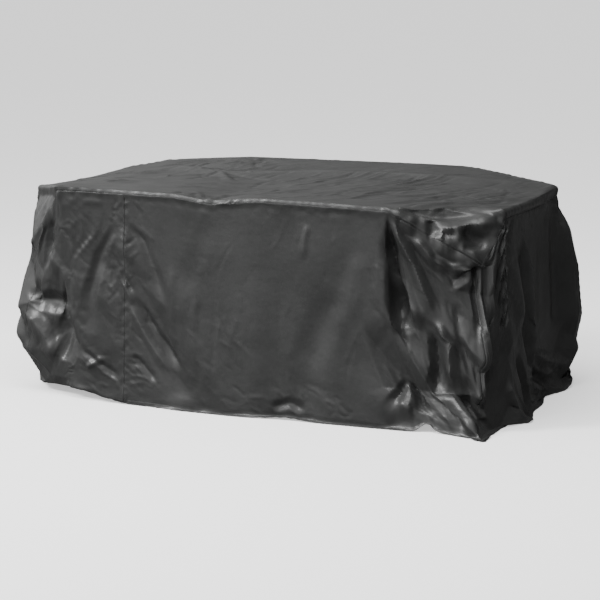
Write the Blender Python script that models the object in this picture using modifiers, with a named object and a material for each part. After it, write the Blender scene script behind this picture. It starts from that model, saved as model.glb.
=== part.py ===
"""A fitted cover for garden furniture, draped as it hangs and hollow inside.

Each cut panel starts as a flat grid in the sizes it was cut to. One drape then lays the
whole sewn cover over an eight-sided support, down its sides and out over the ground.
Metres, +Z up. The cover stands on z = 0, with its footprint centred on the origin.

A place on the cover is given the way a maker would measure it: `along` runs round the
seam between top and sides, starting at the near left corner and passing the near side,
the right end, the far side and the left end, and `drop` runs down from that seam.
"""
import math

import bmesh
import bpy
from mathutils import Matrix, Vector

# Cut sizes of the cover
TOP_LENGTH = 2.15
TOP_WIDTH = 1.35
SIDE_DROP = 0.88
JOIN_ALONG = 0.60        # the upright join in the near side
SHEET = 0.0012           # thickness of the coated cloth
SEAM_GAP = 0.00125       # between neighbouring panels, edge to edge
CORNER_GAP = 0.0045      # between the side panels at the corners, where they turn sharply

# Where the near left corner of the cut top lies over the support
TOP_LEFT = -1.06
TOP_NEAR = -0.665
TOP_RIGHT = TOP_LEFT + TOP_LENGTH
TOP_FAR = TOP_NEAR + TOP_WIDTH

# Seam distances at which the four cut corners come
NEAR_RIGHT = TOP_LENGTH
FAR_RIGHT = NEAR_RIGHT + TOP_WIDTH
FAR_LEFT = FAR_RIGHT + TOP_LENGTH
ROUND = FAR_LEFT + TOP_WIDTH

# Corners of the support under the top, anticlockwise from the left end of the near edge
SUPPORT = {
    #              x       y       z
    "near left": (-0.770, -0.648, 0.884),
    "near right": (0.661, -0.648, 0.863),
    "right near": (1.060, -0.421, 0.848),
    "right far": (1.043, 0.367, 0.862),
    "far right": (0.551, 0.653, 0.888),
    "far left": (-0.870, 0.653, 0.854),
    "left far": (-0.970, 0.450, 0.845),
    "left near": (-1.000, -0.360, 0.845),
}

# Heights of the long edges of the support, which dip and rise between its corners
EDGE_HEIGHTS = [
    # x      near    far
    (-1.06, 0.845, 0.842),
    (-0.77, 0.885, 0.868),
    (-0.46, 0.881, 0.889),
    (-0.25, 0.877, 0.890),
    (-0.09, 0.857, 0.890),
    (0.10, 0.875, 0.890),
    (0.40, 0.870, 0.890),
    (0.66, 0.862, 0.884),
    (1.09, 0.848, 0.862),
]
TOP_SAG = 0.017          # how far the middle of the top hangs below its long edges

# Slope of the cloth below the support's edge, in degrees from level
SIDE_SLOPE = 82.0
CORNER_SLOPE = 70.0      # of the slack triangles of the top that droop at the corners
CORNER_REACH = 0.12      # past the edge by which the droop has its full slope

FOLD_FADE = 0.08         # the side folds grow over this length below the seam and end above the ground

# Where the hem lies. Between the rows it runs in a smooth curve.
HEM = [
    # along    x       y      lift
    (0.00, -1.010, -0.530, 0.000),
    (0.18, -0.890, -0.590, 0.012),
    (0.40, -0.690, -0.610, 0.025),
    (0.56, -0.520, -0.640, 0.008),
    (0.70, -0.387, -0.655, 0.000),
    (0.88, -0.203, -0.686, 0.000),
    (1.14, 0.072, -0.702, 0.000),
    (1.31, 0.246, -0.690, 0.010),
    (1.50, 0.419, -0.700, 0.000),
    (1.74, 0.676, -0.706, 0.000),
    (1.84, 0.783, -0.672, 0.000),
    (1.90, 0.842, -0.735, 0.000),
    (1.95, 0.880, -0.655, 0.006),
    (2.01, 0.940, -0.712, 0.000),
    (2.08, 1.020, -0.740, 0.000),
    (2.15, 1.098, -0.790, 0.000),
    (2.24, 1.094, -0.640, 0.000),
    (2.36, 1.100, -0.450, 0.000),
    (2.46, 1.180, -0.370, 0.000),
    (2.58, 1.140, -0.240, 0.000),
    (2.76, 1.114, -0.020, 0.000),
    (2.92, 1.085, 0.143, 0.008),
    (3.08, 1.128, 0.291, 0.000),
    (3.28, 1.130, 0.497, 0.000),
    (3.50, 1.110, 0.760, 0.000),
    (3.66, 0.930, 0.735, 0.000),
    (3.95, 0.640, 0.705, 0.006),
    (4.30, 0.290, 0.722, 0.000),
    (4.70, -0.110, 0.700, 0.000),
    (5.10, -0.510, 0.715, 0.004),
    (5.40, -0.810, 0.722, 0.000),
    (5.65, -1.060, 0.740, 0.000),
    (5.85, -1.090, 0.540, 0.000),
    (6.15, -1.065, 0.240, 0.008),
    (6.45, -1.100, -0.060, 0.000),
    (6.75, -1.085, -0.290, 0.004),
]

# Long folds in the sides: a ridge where `rise` is positive, a trough where it is negative
FOLDS = [
    # along drop  to along drop  half width at ends  rise
    (1.73, 0.02, 1.86, 0.80, 0.060, 0.090, -0.050),   # deep trough under the near right end
    (1.80, 0.04, 1.95, 0.80, 0.050, 0.080, 0.034),
    (1.97, 0.36, 2.03, 0.90, 0.060, 0.090, 0.030),    # sharp tip over the corner's slack
    (2.10, -0.10, 2.12, 0.44, 0.080, 0.080, 0.036),   # bulge beneath the drooping corner
    (2.22, 0.00, 2.24, 0.84, 0.070, 0.080, -0.026),
    (2.34, 0.06, 2.34, 0.84, 0.070, 0.090, 0.018),
    (2.44, 0.04, 2.66, 0.84, 0.080, 0.090, 0.026),    # sharp pleat on the right end
    (2.56, 0.20, 2.80, 0.88, 0.090, 0.110, -0.022),
    (3.00, 0.06, 2.94, 0.86, 0.100, 0.120, 0.014),
    (3.20, 0.04, 3.22, 0.84, 0.090, 0.110, -0.018),
    (3.42, 0.26, 3.46, 0.90, 0.080, 0.110, 0.030),
    (3.62, 0.08, 3.60, 0.86, 0.080, 0.100, -0.030),
    (3.80, 0.02, 3.88, 0.84, 0.070, 0.100, 0.024),
    (4.16, 0.06, 4.06, 0.86, 0.100, 0.120, -0.018),
    (4.50, 0.10, 4.62, 0.88, 0.100, 0.130, 0.014),
    (4.94, 0.06, 4.86, 0.84, 0.100, 0.120, -0.014),
    (5.24, 0.04, 5.32, 0.86, 0.080, 0.110, 0.020),
    (5.52, 0.10, 5.50, 0.86, 0.070, 0.100, -0.022),
    (5.78, 0.06, 5.82, 0.86, 0.080, 0.100, -0.022),
    (6.04, 0.06, 5.98, 0.86, 0.100, 0.120, 0.020),
    (6.32, 0.04, 6.36, 0.86, 0.100, 0.120, -0.020),
    (6.60, 0.10, 6.68, 0.84, 0.090, 0.110, 0.022),
    (6.93, 0.20, 6.95, 0.84, 0.100, 0.130, 0.085),    # the left end swells by the corner
    (0.29, 0.00, 0.22, 0.84, 0.070, 0.100, -0.050),   # shaded hollow beside that swelling
    (0.55, 0.10, 0.40, 0.60, 0.060, 0.080, -0.014),   # folds that fan out from the join
    (0.63, 0.30, 0.91, 0.90, 0.070, 0.090, -0.024),
    (0.74, 0.20, 1.06, 0.86, 0.080, 0.100, 0.012),
    (1.52, 0.16, 1.37, 0.84, 0.100, 0.110, -0.018),
]

# The grid of the sides leans with the folds that fan out from the near right end
LEAN = 0.14
LEAN_AT = 1.78
LEAN_REACH = 0.37

# Long creases across the top, measured flat
TOP_CREASES = [
    # x      y     to x     y    half width  rise
    (-0.84, -0.24, -0.37, 0.12, 0.07, -0.006),
    (-0.37, 0.12, -0.50, 0.62, 0.07, 0.006),
    (-0.37, 0.12, 0.55, 0.27, 0.08, -0.006),
    (-0.08, -0.60, -0.30, -0.10, 0.08, -0.005),
    (0.68, -0.60, 1.02, 0.02, 0.08, 0.006),
]

# Grid lines between one named place and the next: seam strip, corner, middle, corner, strip
NEAR_LINES = (TOP_LEFT, -1.000, -0.770, TOP_LEFT + JOIN_ALONG, 0.661, 1.060, TOP_RIGHT)
FAR_LINES = (TOP_LEFT, -0.970, -0.870, TOP_LEFT + JOIN_ALONG, 0.551, 1.043, TOP_RIGHT)
CORNER_STEPS = 7         # the same both ways, so the grid's diagonals lie on the corner folds
LENGTH_STEPS = (1, CORNER_STEPS, 3, 12, CORNER_STEPS, 1)
LEFT_LINES = (TOP_NEAR, -0.648, -0.360, 0.450, 0.653, TOP_FAR)
RIGHT_LINES = (TOP_NEAR, -0.648, -0.421, 0.367, 0.653, TOP_FAR)
WIDTH_STEPS = (1, CORNER_STEPS, 9, CORNER_STEPS, 1)
DROP_STEPS = 12

CLOTH_COLOUR = (0.026, 0.027, 0.027, 1.0)
CLOTH_ROUGHNESS = 0.45


def mix(a, b, share):
    return a + (b - a) * share


def ease(share):
    """0 to 1 with a level start and end."""
    share = min(max(share, 0.0), 1.0)
    return share * share * (3.0 - 2.0 * share)


def hump(distance):
    """1 at distance 0, falling smoothly to 0 at distance 1."""
    return 0.5 + 0.5 * math.cos(math.pi * min(abs(distance), 1.0))


def read_table(rows, place):
    """Straight-line reading of a table whose first column rises."""
    for low, high in zip(rows, rows[1:]):
        if place <= high[0]:
            break
    share = min(max((place - low[0]) / (high[0] - low[0]), 0.0), 1.0)
    return [mix(a, b, share) for a, b in zip(low[1:], high[1:])]


def read_round(rows, along):
    """Smooth reading of a table that goes round the cover and closes on itself."""
    along %= ROUND
    count = len(rows)
    place = max(i for i in range(count) if rows[i][0] <= along)
    four = []
    for step in (-1, 0, 1, 2):
        turns, index = divmod(place + step, count)
        four.append((rows[index][0] + turns * ROUND, Vector(rows[index][1:])))
    (s0, p0), (s1, p1), (s2, p2), (s3, p3) = four
    share = (along - s1) / (s2 - s1)
    start = (p2 - p0) / (s2 - s0) * (s2 - s1)
    end = (p3 - p1) / (s3 - s1) * (s2 - s1)
    return (p1 * (1 - ease(share)) + p2 * ease(share)
            + start * share * (1 - share) ** 2 - end * share ** 2 * (1 - share))


def along_line(x, y, start, end):
    """How far along a line a place lies (0 to 1), and how far to its side."""
    line = Vector(end) - Vector(start)
    to_place = Vector((x, y)) - Vector(start)
    share = min(max(to_place.dot(line) / line.length_squared, 0.0), 1.0)
    return share, (to_place - line * share).length


def top_height(x, y):
    """Height of the cloth on the support."""
    near, far = read_table(EDGE_HEIGHTS, x)
    across = ease((y - TOP_NEAR) / TOP_WIDTH)
    height = mix(near, far, across) - TOP_SAG * 4 * across * (1 - across)
    for x0, y0, x1, y1, half_width, rise in TOP_CREASES:
        share, aside = along_line(x, y, (x0, y0), (x1, y1))
        height += rise * hump(aside / half_width) * hump(2 * share - 1)
    return height


def drape_top(x, y):
    """A place on the flat cut top, laid on the support and folded down past its edge."""
    place = Vector((x, y))
    corners = [Vector(corner[:2]) for corner in SUPPORT.values()]
    edges = list(zip(corners, corners[1:] + corners[:1]))
    if all((b - a).cross(place - a) >= 0 for a, b in edges):
        return Vector((x, y, top_height(x, y)))
    feet = []
    for a, b in edges:
        share, aside = along_line(x, y, a, b)
        feet.append((aside, a.lerp(b, share)))
    past, foot = min(feet, key=lambda entry: entry[0])
    outward = (place - foot).normalized()
    droop = 2 * abs(outward.x * outward.y) * ease(past / CORNER_REACH)
    slope = math.radians(mix(SIDE_SLOPE, CORNER_SLOPE, droop))
    level = foot + outward * past * math.cos(slope)
    return Vector((level.x, level.y, top_height(*foot) - past * math.sin(slope)))


def cut_edge(along):
    """The place on the rim of the flat cut top at a distance along the seam."""
    along %= ROUND
    if along <= NEAR_RIGHT:
        return TOP_LEFT + along, TOP_NEAR
    if along <= FAR_RIGHT:
        return TOP_RIGHT, TOP_NEAR + along - NEAR_RIGHT
    if along <= FAR_LEFT:
        return TOP_RIGHT - (along - FAR_RIGHT), TOP_FAR
    return TOP_LEFT, TOP_FAR - (along - FAR_LEFT)


def outward_at(along):
    """Level direction that points away from the cover at a distance along the seam."""
    reach = 0.04
    behind = read_round(HEM, along - reach).xy + drape_top(*cut_edge(along - reach)).xy
    ahead = read_round(HEM, along + reach).xy + drape_top(*cut_edge(along + reach)).xy
    run = (ahead - behind).normalized()
    return Vector((run.y, -run.x))


def fold_depth(along, drop):
    """How far the folds push the side out, or draw it in."""
    depth = 0.0
    for a0, d0, a1, d1, half_start, half_end, rise in FOLDS:
        wrap = round((a0 - along) / ROUND) * ROUND
        share, aside = along_line(along + wrap, drop, (a0, d0), (a1, d1))
        half_width = mix(half_start, half_end, share)
        taper = math.sqrt(hump(2 * share - 1)) if 0 < share < 1 else 0.0
        depth += rise * hump(aside / half_width) * taper
    return depth


def seam_gap_at(along):
    """Drop at which a side panel starts, so that it clears the top where the seam is steep."""
    here = drape_top(*cut_edge(along))
    level_share = 1.0
    for reach in (-0.012, 0.012):
        run = drape_top(*cut_edge(along + reach)) - here
        level_share = min(level_share, run.xy.length / run.length)
    return SEAM_GAP / max(level_share, 0.2)


def drape_side(along, drop):
    """A place on the sides: it hangs from the seam, reaches the ground and spreads on it."""
    seam = drape_top(*cut_edge(along))
    hem_x, hem_y, lift = read_round(HEM, along)
    spread = Vector((hem_x, hem_y)) - seam.xy
    hang_slope = 0.985                     # height lost for each metre of cloth that hangs
    hanging = min((seam.z - lift) / hang_slope, SIDE_DROP)
    pooled = min(SIDE_DROP - hanging, 0.5 * spread.length)
    on_ground = pooled / spread.length
    if drop <= hanging:
        height = mix(seam.z, lift, drop / hanging)
        out = (1 - on_ground) * (drop / hanging) ** 1.15
    else:
        height = lift
        past = (drop - hanging) / (SIDE_DROP - hanging)
        out = mix(1 - on_ground, 1.0, past)
    level = seam.xy + spread * out
    fold_share = ease(drop / FOLD_FADE) * ease((hanging - drop) / FOLD_FADE)
    level += outward_at(along) * fold_depth(along, drop) * fold_share
    return Vector((level.x, level.y, height))


def grid_lines(places, steps):
    """Places of all the grid lines, each stretch between named places in equal steps."""
    lines = [places[0]]
    for start, end, count in zip(places, places[1:], steps):
        lines += [mix(start, end, (i + 1) / count) for i in range(count)]
    return lines


def sheet_object(name, columns, rows, place_at, collection, material, fold_at=None):
    """A grid of cloth whose corners are moved by place_at, thickened to the real sheet.

    fold_at says for a cell of the grid which way its diagonal fold runs: 1 where it rises
    to the right, -1 where it falls, 0 where the cell has none.
    """
    mesh = bpy.data.meshes.new(name)
    grid = bmesh.new()
    bmesh.ops.create_grid(grid, x_segments=columns, y_segments=rows, size=0.5)
    spot = {}
    for vertex in grid.verts:
        column = round((vertex.co.x + 0.5) * columns)
        row = round((vertex.co.y + 0.5) * rows)
        spot[vertex] = (column, row)
    for face in list(grid.faces):
        corners = sorted(face.verts, key=spot.get)
        way = fold_at(*spot[corners[0]]) if fold_at else 0
        if way:
            first, last = (0, 3) if way > 0 else (1, 2)
            bmesh.utils.face_split(face, corners[first], corners[last])
    for vertex, (column, row) in spot.items():
        vertex.co = place_at(column, row)
    grid.to_mesh(mesh)
    grid.free()
    mesh.materials.append(material)
    cloth = bpy.data.objects.new(name, mesh)
    collection.objects.link(cloth)
    thickness = cloth.modifiers.new("Sheet", "SOLIDIFY")
    thickness.thickness = SHEET
    thickness.offset = 0.0
    cloth.modifiers.new("Facets", "TRIANGULATE")
    return cloth


def top_panel(collection, material):
    near = grid_lines(NEAR_LINES, LENGTH_STEPS)
    far = grid_lines(FAR_LINES, LENGTH_STEPS)
    left = grid_lines(LEFT_LINES, WIDTH_STEPS)
    right = grid_lines(RIGHT_LINES, WIDTH_STEPS)
    columns = len(near) - 1
    rows = len(left) - 1
    edge = 1 + CORNER_STEPS                # the seam strip and a corner block

    def place(column, row):
        across = ease((row - edge) / (rows - 2 * edge))
        lengthways = ease((column - edge) / (columns - 2 * edge))
        x = mix(near[column], far[column], across)
        y = mix(left[row], right[row], lengthways)
        return drape_top(x, y)

    def fold_at(column, row):
        at_end = column < edge or column >= columns - edge
        at_side = row < edge or row >= rows - edge
        if not (at_end and at_side):
            return 0
        return 1 if (column < edge) != (row < edge) else -1

    return sheet_object("top_panel", columns, rows, place, collection, material, fold_at)


def side_panel(name, start, end, collection, material):
    """One panel of the sides, from one distance along the seam to another."""
    seam_lines = ([x - TOP_LEFT for x in grid_lines(NEAR_LINES, LENGTH_STEPS)]
                  + [NEAR_RIGHT + y - TOP_NEAR for y in grid_lines(RIGHT_LINES, WIDTH_STEPS)]
                  + [FAR_LEFT - x + TOP_LEFT for x in grid_lines(FAR_LINES, LENGTH_STEPS)]
                  + [FAR_LEFT + TOP_FAR - y for y in grid_lines(LEFT_LINES, WIDTH_STEPS)])
    tiny = 1e-6
    lines = [start + (SEAM_GAP if start == JOIN_ALONG else CORNER_GAP) / 2]
    lines += sorted(line for line in seam_lines if start + tiny < line < end - tiny)
    lines += [end - (SEAM_GAP if end == JOIN_ALONG else CORNER_GAP) / 2]

    def place(column, row):
        drop = mix(SIDE_DROP, seam_gap_at(lines[column]), row / DROP_STEPS)
        lean = LEAN * hump((lines[column] - LEAN_AT) / LEAN_REACH)
        return drape_side(lines[column] + lean * drop / SIDE_DROP, drop)

    return sheet_object(name, len(lines) - 1, DROP_STEPS, place, collection, material)


def cloth_material():
    material = bpy.data.materials.new("coated_cloth")
    material.use_nodes = True
    shader = material.node_tree.nodes["Principled BSDF"]
    shader.inputs["Base Color"].default_value = CLOTH_COLOUR
    shader.inputs["Roughness"].default_value = CLOTH_ROUGHNESS
    shader.inputs["Metallic"].default_value = 0.0
    material.diffuse_color = CLOTH_COLOUR
    return material


def stand_on_origin(panels):
    """Centres the footprint on the origin and stands the lowest point on z = 0."""
    bpy.context.view_layer.update()
    graph = bpy.context.evaluated_depsgraph_get()
    points = [vertex.co for panel in panels
              for vertex in panel.evaluated_get(graph).data.vertices]
    low = Vector([min(point[axis] for point in points) for axis in range(3)])
    high = Vector([max(point[axis] for point in points) for axis in range(3)])
    shift = Vector((-(low.x + high.x) / 2, -(low.y + high.y) / 2, -low.z))
    for panel in panels:
        panel.data.transform(Matrix.Translation(shift))
    return shift


def main():
    for old in list(bpy.data.objects):
        bpy.data.objects.remove(old)
    collection = bpy.data.collections.new("furniture_cover")
    bpy.context.scene.collection.children.link(collection)
    material = cloth_material()
    panels = [
        top_panel(collection, material),
        side_panel("front_panel_short", 0.0, JOIN_ALONG, collection, material),
        side_panel("front_panel_main", JOIN_ALONG, NEAR_RIGHT, collection, material),
        side_panel("end_panel_right", NEAR_RIGHT, FAR_RIGHT, collection, material),
        side_panel("back_panel", FAR_RIGHT, FAR_LEFT, collection, material),
        side_panel("end_panel_left", FAR_LEFT, ROUND, collection, material),
    ]
    shift = stand_on_origin(panels)
    print("moved by", [round(value, 4) for value in shift])


main()
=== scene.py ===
import math
import time
import bpy
import numpy as np
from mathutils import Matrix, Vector, noise


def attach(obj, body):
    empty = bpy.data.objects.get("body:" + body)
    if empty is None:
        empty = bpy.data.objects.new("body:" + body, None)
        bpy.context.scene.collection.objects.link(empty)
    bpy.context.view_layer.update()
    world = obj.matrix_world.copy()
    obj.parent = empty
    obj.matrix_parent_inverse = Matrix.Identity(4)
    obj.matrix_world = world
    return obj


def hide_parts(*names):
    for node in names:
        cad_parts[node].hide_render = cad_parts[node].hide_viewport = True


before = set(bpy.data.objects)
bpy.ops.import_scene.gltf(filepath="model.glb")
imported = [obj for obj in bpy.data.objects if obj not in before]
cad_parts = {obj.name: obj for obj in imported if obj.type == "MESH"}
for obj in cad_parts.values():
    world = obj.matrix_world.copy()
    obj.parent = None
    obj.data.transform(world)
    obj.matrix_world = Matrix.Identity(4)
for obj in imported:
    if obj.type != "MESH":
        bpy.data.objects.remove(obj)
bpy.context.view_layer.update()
startTime = time.time()

# The cover as it was cut, in metres. Along runs round the seam between top and sides from the
# near left corner past the near side, the right end and the far side. Drop runs down the sides.
cutCover = {
    "length": 2.15,
    "width": 1.35,
    "drop": 0.88,
    "left": -1.06,
    "near": -0.665,
    "lengthSteps": 108,
    "widthSteps": 68,
    "dropSteps": 44,
    "joinStep": 30,
    "sheet": 0.001,
}
cutLength, cutWidth, cutDrop = cutCover["length"], cutCover["width"], cutCover["drop"]
cutLeft, cutNear = cutCover["left"], cutCover["near"]
cutRight = cutLeft + cutLength
cutFar = cutNear + cutWidth
nearRight = cutLength
farRight = nearRight + cutWidth
farLeft = farRight + cutLength
roundLength = farLeft + cutWidth
lengthSteps, widthSteps, dropSteps = [cutCover[key + "Steps"] for key in ("length", "width", "drop")]
roundSteps = 2 * (lengthSteps + widthSteps)

# The cover's corners along the seam, in metres and in grid lines
cornerPlaces = [0, nearRight, farRight, farLeft, roundLength]
cornerLines = np.cumsum([0, lengthSteps, widthSteps, lengthSteps, widthSteps])

# Places and sizes in the tables below are in millimetres, measured before the cover was centred
# over the origin. This is how far it was moved then, in metres.
centring = np.array((-0.0394, 0.0103, 0.0011))

# Corners of what the top lies on, anticlockwise from the left end of the near edge
supportCorners = np.array([
    (-770, -648), (661, -648), (1060, -421), (1043, 367),
    (551, 653), (-870, 653), (-970, 450), (-1000, -360),
]) / 1000

# Heights of the top's long edges: x, near edge, far edge
edgeHeights = np.array([
    (-1060, 845, 842), (-770, 885, 868), (-460, 881, 889), (-250, 877, 890),
    (-90, 857, 890), (100, 875, 890), (400, 870, 890), (660, 862, 884),
    (1090, 848, 862),
]) / 1000

# Where the hem lies: along, x, y, height
hemRows = np.array([
    (0, -935, -480, 30), (180, -800, -535, 38), (400, -660, -590, 32), (560, -520, -640, 8),
    (700, -387, -655, 0), (880, -203, -686, 0), (1140, 72, -702, 0), (1310, 246, -690, 10),
    (1500, 419, -700, 0), (1740, 676, -706, 0), (1840, 783, -705, 0), (1900, 842, -690, 34),
    (1950, 880, -700, 10), (2010, 940, -712, 0), (2080, 1020, -740, 0), (2150, 1098, -790, 0),
    (2240, 1094, -640, 0), (2360, 1100, -450, 0), (2460, 1180, -370, 0), (2580, 1140, -240, 0),
    (2760, 1114, -20, 0), (2920, 1085, 143, 8), (3080, 1128, 291, 0), (3280, 1110, 450, 45),
    (3500, 990, 690, 50), (3660, 930, 735, 0), (3950, 640, 705, 6), (4300, 290, 722, 0),
    (4700, -110, 700, 0), (5100, -510, 715, 4), (5400, -810, 722, 0), (5650, -1060, 740, 0),
    (5850, -1090, 540, 0), (6150, -1065, 240, 8), (6450, -1100, -60, 0),
    (6750, -1035, -255, 14),
]) / 1000

# How the cloth hangs before it settles
hanging = {
    "topSag": 0.017,
    "sideSlope": math.radians(82),
    "cornerSlope": math.radians(70),
    "cornerReach": 0.12,
    "fallPerMetre": 0.985,
    "spreadPower": 1.15,
    "seamFade": 0.15,
    "hemFade": 0.08,
    "outwardReach": 0.04,
}

# Long folds in the sides: along, drop, to along, to drop, half widths at the ends, rise
sideFolds = [
    (1730, 20, 1860, 800, 60, 90, -50), (1800, 40, 1950, 800, 50, 80, 34),
    (1970, 360, 2030, 900, 60, 90, 30), (2100, -100, 2120, 440, 80, 80, 36),
    (2220, 0, 2240, 840, 70, 80, -26), (2340, 60, 2340, 840, 70, 90, 18),
    (2440, 40, 2660, 840, 80, 90, 26), (2560, 200, 2800, 880, 90, 110, -22),
    (3000, 60, 2940, 860, 100, 120, 14), (3200, -80, 3240, 920, 170, 230, 88),
    (3420, 260, 3460, 900, 80, 110, 30), (3620, 80, 3600, 860, 80, 100, -30),
    (3800, 20, 3880, 840, 70, 100, 24), (4160, 60, 4060, 860, 100, 120, -18),
    (4500, 100, 4620, 880, 100, 130, 14), (4940, 60, 4860, 840, 100, 120, -14),
    (5240, 40, 5320, 860, 80, 110, 20), (5520, 100, 5500, 860, 70, 100, -22),
    (5780, 60, 5820, 860, 80, 100, -22), (6040, 60, 5980, 860, 100, 120, 20),
    (6320, 40, 6360, 860, 100, 120, -20), (6600, 100, 6680, 840, 90, 110, 22),
    (6930, 100, 6940, 680, 100, 130, 85), (290, 0, 220, 840, 70, 100, -50),
    (550, 100, 400, 600, 60, 80, -14), (630, 300, 910, 900, 70, 90, -24),
    (740, 200, 1060, 860, 80, 100, 12), (1520, 160, 1370, 840, 100, 120, -10),
]


def mix(a, b, share):
    return a + (b - a) * share


def ease(share):
    share = np.clip(share, 0.0, 1.0)
    return share * share * (3.0 - 2.0 * share)


def hump(distance):
    return 0.5 + 0.5 * np.cos(np.pi * np.minimum(np.abs(distance), 1.0))


def length(vectors):
    return np.sqrt((vectors ** 2).sum(-1))


def report(*words):
    print(*words, "after", round(time.time() - startTime, 1), "s")


def metres(millimetres):
    return [size / 1000 for size in millimetres]


# Smooth curve from one value to the next, given its slopes at both
def curve(here, there, start, end, share):
    return (here * (1 - ease(share)) + there * ease(share)
            + start * share * (1 - share) ** 2 - end * share ** 2 * (1 - share))


# Share along a straight line (0 to 1) and distance to its side, for many places at once
def alongLine(place, start, end):
    line = np.subtract(end, start)
    share = np.clip(((place - start) @ line) / (line @ line), 0.0, 1.0)
    return share, length(place - start - share[..., None] * line)


def topHeight(place):
    x = place[..., 0]
    across = ease((place[..., 1] - cutNear) / cutWidth)
    near = np.interp(x, edgeHeights[:, 0], edgeHeights[:, 1])
    far = np.interp(x, edgeHeights[:, 0], edgeHeights[:, 2])
    return mix(near, far, across) - hanging["topSag"] * 4 * across * (1 - across)


# Places on the flat cut top, laid on the support and folded down past its edge
def layTop(place):
    ends = np.roll(supportCorners, -1, axis=0)
    nearest = np.full(place.shape[:-1], np.inf)
    foot = np.zeros(place.shape)
    inside = np.ones(place.shape[:-1], bool)
    for start, end in zip(supportCorners, ends):
        share, aside = alongLine(place, start, end)
        closer = aside < nearest
        nearest = np.where(closer, aside, nearest)
        foot = np.where(closer[..., None], start + share[..., None] * (end - start), foot)
        line, away = end - start, place - start
        inside &= line[0] * away[..., 1] - line[1] * away[..., 0] >= 0
    past = np.where(inside, 0.0, nearest)
    foot = np.where(inside[..., None], place, foot)
    outward = (place - foot) / np.maximum(past, 1e-9)[..., None]
    droop = 2 * np.abs(outward[..., 0] * outward[..., 1]) * ease(past / hanging["cornerReach"])
    slope = mix(hanging["sideSlope"], hanging["cornerSlope"], droop)
    level = foot + outward * (past * np.cos(slope))[..., None]
    height = topHeight(foot) - past * np.sin(slope)
    return np.concatenate([level, height[..., None]], axis=-1)


# The rim of the flat cut top at distances along the seam
def cutEdge(along):
    along = along % roundLength
    sides = [along <= nearRight, along <= farRight, along <= farLeft]
    x = np.select(sides, [cutLeft + along, cutRight + 0 * along, cutRight - (along - farRight)], cutLeft)
    y = np.select(sides, [cutNear + 0 * along, cutNear + along - nearRight, cutFar + 0 * along],
                  cutFar - (along - farLeft))
    return np.stack([x, y], axis=-1)


# Smooth reading of the hem's rows, which close on themselves
def readHem(along):
    along = along % roundLength
    index = np.searchsorted(hemRows[:, 0], along, side="right") - 1
    keys, values = [], []
    for step in (-1, 0, 1, 2):
        turns, row = np.divmod(index + step, len(hemRows))
        keys.append(hemRows[row, 0] + turns * roundLength)
        values.append(hemRows[row, 1:])
    s0, s1, s2, s3 = [key[..., None] for key in keys]
    p0, p1, p2, p3 = values
    share = (along[..., None] - s1) / (s2 - s1)
    start = (p2 - p0) / (s2 - s0) * (s2 - s1)
    end = (p3 - p1) / (s3 - s1) * (s2 - s1)
    return curve(p1, p2, start, end, share)


def outwardAt(along):
    reach = hanging["outwardReach"]
    behind = readHem(along - reach)[..., :2] + layTop(cutEdge(along - reach))[..., :2]
    ahead = readHem(along + reach)[..., :2] + layTop(cutEdge(along + reach))[..., :2]
    run = ahead - behind
    run /= length(run)[..., None]
    return np.stack([run[..., 1], -run[..., 0]], axis=-1)


def foldDepth(along, drop):
    depth = np.zeros(np.shape(along))
    for fold in sideFolds:
        fromAlong, fromDrop, toAlong, toDrop, halfStart, halfEnd, rise = metres(fold)
        wrapped = along + np.round((fromAlong - along) / roundLength) * roundLength
        place = np.stack([wrapped, drop], axis=-1)
        share, aside = alongLine(place, np.array((fromAlong, fromDrop)), np.array((toAlong, toDrop)))
        taper = np.where((share > 0) & (share < 1), np.sqrt(hump(2 * share - 1)), 0.0)
        depth += rise * hump(aside / mix(halfStart, halfEnd, share)) * taper
    return depth


# Places on the sides: they hang from the seam, reach the ground and spread on it
def hangSide(along, drop):
    seam = layTop(cutEdge(along))
    hem = readHem(along)
    lift = hem[..., 2]
    spread = hem[..., :2] - seam[..., :2]
    spreadLength = length(spread)
    falls = np.minimum((seam[..., 2] - lift) / hanging["fallPerMetre"], cutDrop)
    onGround = np.minimum(cutDrop - falls, 0.5 * spreadLength) / spreadLength
    share = np.clip(drop / falls, 0.0, 1.0)
    past = np.clip((drop - falls) / np.maximum(cutDrop - falls, 1e-6), 0.0, 1.0)
    out = (1 - onGround) * share ** hanging["spreadPower"] + onGround * past
    fade = ease(drop / hanging["seamFade"]) * ease((falls - drop) / hanging["hemFade"])
    pushed = foldDepth(along, drop) * fade
    level = seam[..., :2] + spread * out[..., None] + outwardAt(along) * pushed[..., None]
    return np.concatenate([level, mix(seam[..., 2], lift, share)[..., None]], axis=-1)


# Points round the edge of a grid, in the order of the seam
def rimOf(grid):
    return np.concatenate([grid[0, :-1], grid[:-1, -1], grid[-1, :0:-1], grid[:0:-1, 0]])


# The whole sewn cover in one: the top's grid, then the rows of the sides below the seam
def sewnGrid():
    across, along = widthSteps + 1, lengthSteps + 1
    topIndex = np.arange(across * along).reshape(across, along)
    below = across * along + np.arange(dropSteps * roundSteps)
    sideIndex = np.vstack([rimOf(topIndex)[None], below.reshape(dropSteps, roundSteps)])
    sideIndex = np.hstack([sideIndex, sideIndex[:, :1]])

    def cells(index, flip):
        quads = np.stack([index[:-1, :-1], index[:-1, 1:], index[1:, 1:], index[1:, :-1]], axis=-1)
        return quads.reshape(-1, 4)[:, ::-1] if flip else quads.reshape(-1, 4)

    return topIndex, sideIndex, np.vstack([cells(topIndex, False), cells(sideIndex, True)])


# Distance along the seam of a grid line, which may lie between two whole ones
def seamDistance(line):
    return np.interp(line, cornerLines, cornerPlaces)


# The reverse: the grid line at a distance along the seam
def lineAt(along):
    return np.interp(along, cornerPlaces, cornerLines)


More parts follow.
